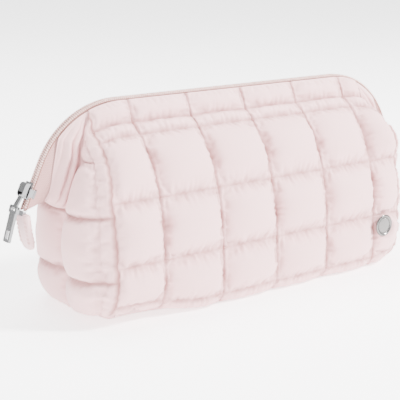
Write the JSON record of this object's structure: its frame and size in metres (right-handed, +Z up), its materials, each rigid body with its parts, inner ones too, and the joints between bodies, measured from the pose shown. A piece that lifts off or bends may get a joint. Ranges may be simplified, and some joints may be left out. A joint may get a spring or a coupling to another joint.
{
  "type": "makeup bag",
  "caption": "Quilted padded makeup pouch with a spring-wire mouth, pleated fins at both ends, and one long zip with a hanging metal pull.",
  "frame": {"origin": "middle of the flat underside of the base", "axes": "+X along the zip towards the end away from the slider, -Y is the front, +Z up"},
  "size_m": [0.3412, 0.108, 0.1381],
  "materials": {
    "quilted_fabric": "fine plain-weave nylon, soft sheen, puckered along every seam",
    "band_fabric": "the same nylon, gathered into narrow pleats",
    "tab_fabric": "the same nylon, folded and topstitched",
    "wadding": "soft polyester wadding",
    "lining": "smooth thin lining",
    "zip_tape": "herringbone zip tape",
    "zip_coil": "nylon coil",
    "zip_metal": "satin silver plating",
    "badge_metal": "brushed silver disc with a raised ring",
    "stop_metal": "plain",
    "spring_wire": "plain",
    "wire_tip": "vinyl"
  },
  "bodies": {
    "root": {"base_panel": "quilted_fabric", "base_wadding": "wadding", "front_panel": "quilted_fabric", "front_wadding": "wadding", "back_panel": "quilted_fabric", "back_wadding": "wadding", "left_gusset": "quilted_fabric", "left_gusset_wadding": "wadding", "right_gusset": "quilted_fabric", "right_gusset_wadding": "wadding", "lining_bag": "lining", "front_top_row": "quilted_fabric", "front_top_row_wadding": "wadding", "front_top_row_lining": "lining", "back_top_row": "quilted_fabric", "back_top_row_wadding": "wadding", "back_top_row_lining": "lining", "left_gusset_pleats": "band_fabric", "right_gusset_pleats": "band_fabric", "left_end_tab": "tab_fabric", "right_end_tab": "tab_fabric", "left_end_stop": "stop_metal", "right_end_stop": "stop_metal", "badge": "badge_metal", "badge_washer": "badge_metal"},
    "front_mouth": {"front_mouth_band": "band_fabric", "front_left_fin": "band_fabric", "front_right_fin": "band_fabric", "front_wire": "spring_wire", "front_wire_tips": "wire_tip", "front_zip_tape": "zip_tape", "front_zip_coil": "zip_coil"},
    "back_mouth": {"back_mouth_band": "band_fabric", "back_left_fin": "band_fabric", "back_right_fin": "band_fabric", "back_wire": "spring_wire", "back_wire_tips": "wire_tip", "back_zip_tape": "zip_tape", "back_zip_coil": "zip_coil"},
    "slider": {"slider_body": "zip_metal", "slider_bridge": "zip_metal"},
    "link": {"pull_link": "zip_metal"},
    "pull": {"pull_tab": "zip_metal"}
  },
  "joints": [
    {"name": "front_mouth_open", "type": "hinge", "parent": "root", "child": "front_mouth", "pos_m": [0, -0.003, 0.08], "axis": [1, 0, 0], "range_deg": [0, 45], "deforming": ["front_top_row", "front_top_row_wadding", "front_top_row_lining", "front_zip_tape", "front_zip_coil", "left_gusset_pleats", "right_gusset_pleats"]},
    {"name": "back_mouth_open", "type": "hinge", "parent": "root", "child": "back_mouth", "pos_m": [0, 0.003, 0.08], "axis": [-1, 0, 0], "range_deg": [0, 45], "deforming": ["back_top_row", "back_top_row_wadding", "back_top_row_lining", "back_zip_tape", "back_zip_coil"]},
    {"name": "slider_run", "type": "hinge", "parent": "root", "child": "slider", "pos_m": [0, 0, 0.01247], "axis": [0, 1, 0], "range_deg": [0, 130]},
    {"name": "link_swing", "type": "hinge", "parent": "slider", "child": "link", "pos_m": [-0.16167, 0, 0.08367], "axis": [0, 1, 0], "range_deg": [0, 100]},
    {"name": "pull_swing", "type": "hinge", "parent": "link", "child": "pull", "pos_m": [-0.16666, 0, 0.07666], "axis": [0, 1, 0], "range_deg": [-8, 95]}
  ],
  "couplings": [
    {"joint": "back_mouth_open", "follows": "front_mouth_open", "ratio": 1}
  ]
}
